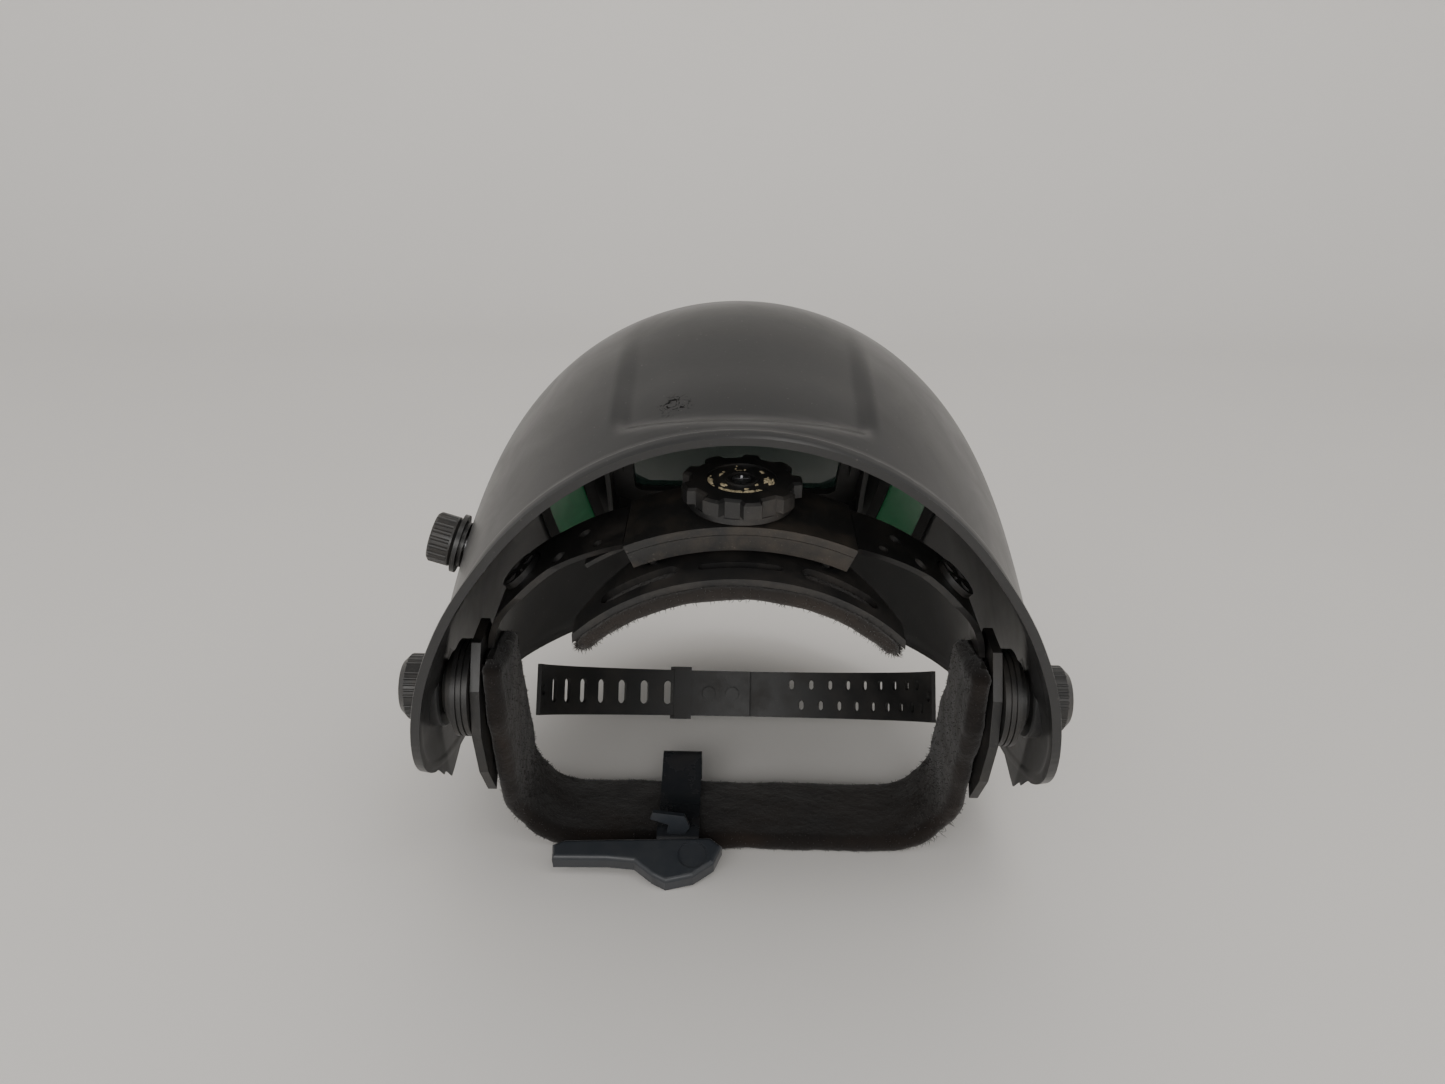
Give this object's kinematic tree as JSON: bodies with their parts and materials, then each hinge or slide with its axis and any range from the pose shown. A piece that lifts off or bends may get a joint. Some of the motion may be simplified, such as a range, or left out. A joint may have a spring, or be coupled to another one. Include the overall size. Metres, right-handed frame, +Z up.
{
  "type": "auto-darkening welding helmet",
  "caption": "Auto-darkening welding helmet lying face up: black shell with filter bay, side windows and shade knob, ratchet headgear folded under on its side pivots.",
  "frame": {"origin": "centre of the object's box, on the table that it lies on", "axes": "+Z up from the table, +Y from the crown rim to the chin, +X to the wearer's right along the pivot axis"},
  "size_m": [0.2316, 0.2544, 0.2058],
  "materials": {
    "shell_plastic": "satin moulded nylon with a soft sheen, dust and light scuffs",
    "headgear_plastic": "matt flexible polypropylene, dusty in the corners",
    "knob_plastic": "matt black, ribbed",
    "fleece": "thick black fleece with brown dust",
    "pad_fabric": "black brushed cloth over foam, frayed at its edges",
    "clip_grey": "blue-grey semi-gloss plastic",
    "clip_black": "thin glossy dark plastic",
    "filter_glass": "dark green filter glass",
    "side_glass": "green tinted window",
    "clear_lens": "clear polycarbonate cover lens",
    "cartridge_plastic": "matt black moulding",
    "solar_blue": "dark solar cell under clear lacquer",
    "sensor_plastic": "dark red sensor window",
    "board_green": "circuit board",
    "cell_metal": "nickel plated cells",
    "steel": "zinc plated steel",
    "rubber_black": "soft black rubber"
  },
  "bodies": {
    "shell": {"shell": "shell_plastic", "front_cover_lens": "clear_lens", "cartridge_front_frame": "cartridge_plastic", "solar_cell": "solar_blue", "arc_sensors": "sensor_plastic", "lcd_filter_glass": "filter_glass", "cartridge_back_frame": "cartridge_plastic", "coin_cells": "cell_metal", "circuit_board": "board_green", "inner_cover_lens": "clear_lens", "lens_retainer": "cartridge_plastic", "side_window_left": "side_glass", "side_window_right": "side_glass", "side_window_seals": "rubber_black", "shade_flange": "knob_plastic", "shade_potentiometer": "steel", "potentiometer_nut": "steel"},
    "shade_knob": {"shade_knob": "knob_plastic"},
    "pivots": {"pivot_bolt_left": "headgear_plastic", "pivot_bolt_right": "headgear_plastic", "friction_washer_left": "rubber_black", "friction_washer_right": "rubber_black", "stop_flange_left": "headgear_plastic", "stop_flange_right": "headgear_plastic", "tilt_disc_left": "headgear_plastic", "tilt_disc_right": "headgear_plastic"},
    "pivot_knob_left": {"pivot_knob_left": "knob_plastic"},
    "pivot_knob_right": {"pivot_knob_right": "knob_plastic"},
    "headgear": {"side_plate_left": "headgear_plastic", "side_plate_right": "headgear_plastic", "browband": "headgear_plastic", "sweatband": "fleece", "crown_strap_left": "headgear_plastic", "crown_strap_right": "headgear_plastic", "strap_keeper": "headgear_plastic", "strap_pegs": "headgear_plastic", "rear_arm_left": "headgear_plastic", "rear_arm_right": "headgear_plastic", "housing_cover": "headgear_plastic", "housing_base": "headgear_plastic", "housing_screws": "steel", "cushion_pegs": "headgear_plastic", "cushion_frame": "headgear_plastic", "nape_cushion": "pad_fabric", "clip_hook": "clip_black", "clip_tab": "clip_grey", "clip_pin": "steel"},
    "star_disc_left": {"star_disc_left": "headgear_plastic"},
    "star_disc_right": {"star_disc_right": "headgear_plastic"},
    "ratchet_knob": {"ratchet_knob": "knob_plastic", "ratchet_pinion": "knob_plastic", "knob_screw": "steel"},
    "rack_left": {"rack_left": "headgear_plastic"},
    "rack_right": {"rack_right": "headgear_plastic"},
    "clip_lever": {"clip_lever": "clip_grey"}
  },
  "joints": [
    {"name": "headgear_swing", "type": "hinge", "parent": "shell", "child": "pivots", "pos_m": [0, -0.07813, 0.0755], "axis": [1, 0, 0], "range_deg": [0, 108]},
    {"name": "headgear_fore_aft", "type": "slide", "parent": "pivots", "child": "headgear", "axis": [0, 0, 1], "range_m": [-0.008, 0.008]},
    {"name": "pivot_knob_left_turn", "type": "hinge", "parent": "pivots", "child": "pivot_knob_left", "pos_m": [-0.112, -0.07813, 0.0755], "axis": [-1, 0, 0], "range_deg": [-180, 180]},
    {"name": "pivot_knob_right_turn", "type": "hinge", "parent": "pivots", "child": "pivot_knob_right", "pos_m": [0.112, -0.07813, 0.0755], "axis": [1, 0, 0], "range_deg": [-180, 180]},
    {"name": "shade_turn", "type": "hinge", "parent": "shell", "child": "shade_knob", "pos_m": [-0.099, -0.04813, 0.1175], "axis": [-0.9588, 0, 0.284], "range_deg": [-135, 135]},
    {"name": "ratchet_turn", "type": "hinge", "parent": "headgear", "child": "ratchet_knob", "pos_m": [0, -0.09259, 0.15196], "axis": [0, -0.1392, 0.9903], "range_deg": [-90, 180]},
    {"name": "rack_left_run", "type": "hinge", "parent": "headgear", "child": "rack_left", "pos_m": [0, -0.08361, 0.05931], "axis": [0, 0.9903, 0.1392], "range_deg": [-4.3, 8.5]},
    {"name": "rack_right_run", "type": "hinge", "parent": "headgear", "child": "rack_right", "pos_m": [0, -0.07568, 0.06042], "axis": [0, 0.9903, 0.1392], "range_deg": [-8.5, 4.3]},
    {"name": "star_disc_left_turn", "type": "hinge", "parent": "headgear", "child": "star_disc_left", "pos_m": [-0.0706, -0.07759, 0.11711], "axis": [-0.6801, -0.102, 0.726], "range_deg": [-60, 60]},
    {"name": "star_disc_right_turn", "type": "hinge", "parent": "headgear", "child": "star_disc_right", "pos_m": [0.0706, -0.07759, 0.11711], "axis": [0.6801, -0.102, 0.726], "range_deg": [-60, 60]},
    {"name": "clip_lever_swing", "type": "hinge", "parent": "headgear", "child": "clip_lever", "pos_m": [-0.0145, -0.08118, 0.00733], "axis": [0, -0.4067, 0.9135], "range_deg": [0, 75]}
  ],
  "couplings": [
    {"joint": "rack_right_run", "follows": "ratchet_turn", "ratio": -0.045977},
    {"joint": "rack_left_run", "follows": "ratchet_turn", "ratio": 0.045977}
  ]
}
